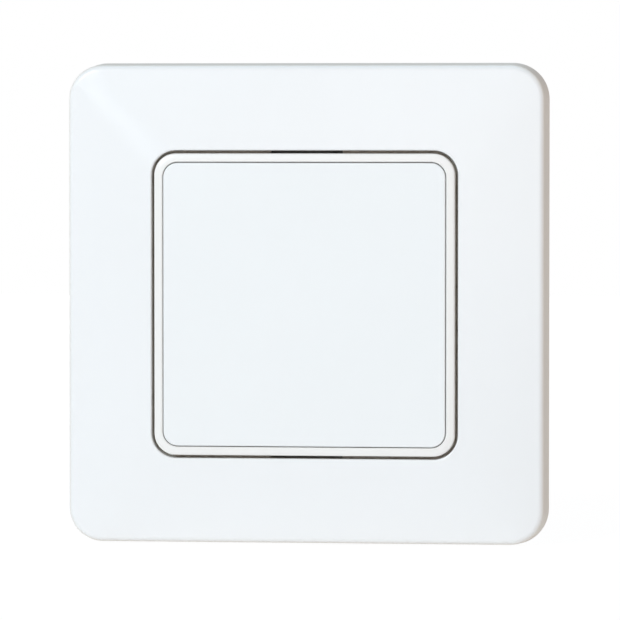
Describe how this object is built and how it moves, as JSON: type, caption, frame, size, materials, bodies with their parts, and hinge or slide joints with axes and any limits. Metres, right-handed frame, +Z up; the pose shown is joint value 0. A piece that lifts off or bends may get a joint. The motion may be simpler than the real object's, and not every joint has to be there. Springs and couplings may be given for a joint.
{
  "type": "touch dimmer switch",
  "caption": "Square white flush-mounted wall dimmer with a large push plate in a pillowed frame, a steel mounting plate, spreading claws and a round insert housing.",
  "frame": {"origin": "middle of the mounting plate's rear face, in the plane of the wall's surface", "axes": "+Z up the wall, +X to the right seen from the room, +Y into the wall; the face looks along -Y"},
  "size_m": [0.08, 0.0329, 0.08],
  "materials": {
    "frame_white": "satin moulded white",
    "ring_white": "polished moulded white",
    "plate_white": "satin moulded white",
    "inner_white": "plain moulded",
    "housing_grey": "fine spark-eroded grey",
    "cover_grey": "fine spark-eroded light grey",
    "plate_steel": "zinc plated sheet",
    "claw_steel": "zinc plated stamping",
    "screw_steel": "zinc plated",
    "spring_steel": "drawn wire",
    "terminal_brass": "machined",
    "board_green": "solder mask",
    "ferrite": "sintered",
    "copper": "enamelled",
    "film_box": "moulded",
    "black_epoxy": "moulded",
    "aluminium": "bent sheet",
    "can_sleeve": "shrunk sleeve",
    "resistor_coat": "lacquer",
    "fuse_glass": "clear"
  },
  "bodies": {
    "insert": {"cover_frame": "frame_white", "button_surround": "ring_white", "return_spring": "spring_steel", "key_switch_body": "black_epoxy", "mounting_plate": "plate_steel", "housing_cover": "cover_grey", "housing_base": "housing_grey", "housing_screws": "screw_steel", "circuit_board": "board_green", "terminal_clamps": "terminal_brass", "terminal_screws": "screw_steel", "choke_core": "ferrite", "choke_winding": "copper", "suppression_capacitor": "film_box", "triac": "black_epoxy", "heat_spreader": "aluminium", "smoothing_capacitor": "can_sleeve", "controller_chip": "black_epoxy", "resistors": "resistor_coat", "fuse_link": "fuse_glass", "fuse_clips": "terminal_brass"},
    "push_plate": {"touch_plate": "plate_white", "plunger": "inner_white", "key_switch_cap": "inner_white"},
    "right_claw": {"claw_right": "claw_steel", "claw_screw_right": "screw_steel"},
    "left_claw": {"claw_left": "claw_steel", "claw_screw_left": "screw_steel"}
  },
  "joints": [
    {"name": "push_plate_press", "type": "slide", "parent": "insert", "child": "push_plate", "axis": [0, 1, 0], "range_m": [0, 0.0008], "stiffness_N_per_m": 1500, "springref_m": -0.0008, "deforming": ["return_spring"]},
    {"name": "right_claw_swing", "type": "hinge", "parent": "insert", "child": "right_claw", "pos_m": [0.0243, -0.002, 0], "axis": [0, 0, -1], "range_deg": [0, 14]},
    {"name": "left_claw_swing", "type": "hinge", "parent": "insert", "child": "left_claw", "pos_m": [-0.0243, -0.002, 0], "axis": [0, 0, 1], "range_deg": [0, 14]}
  ]
}
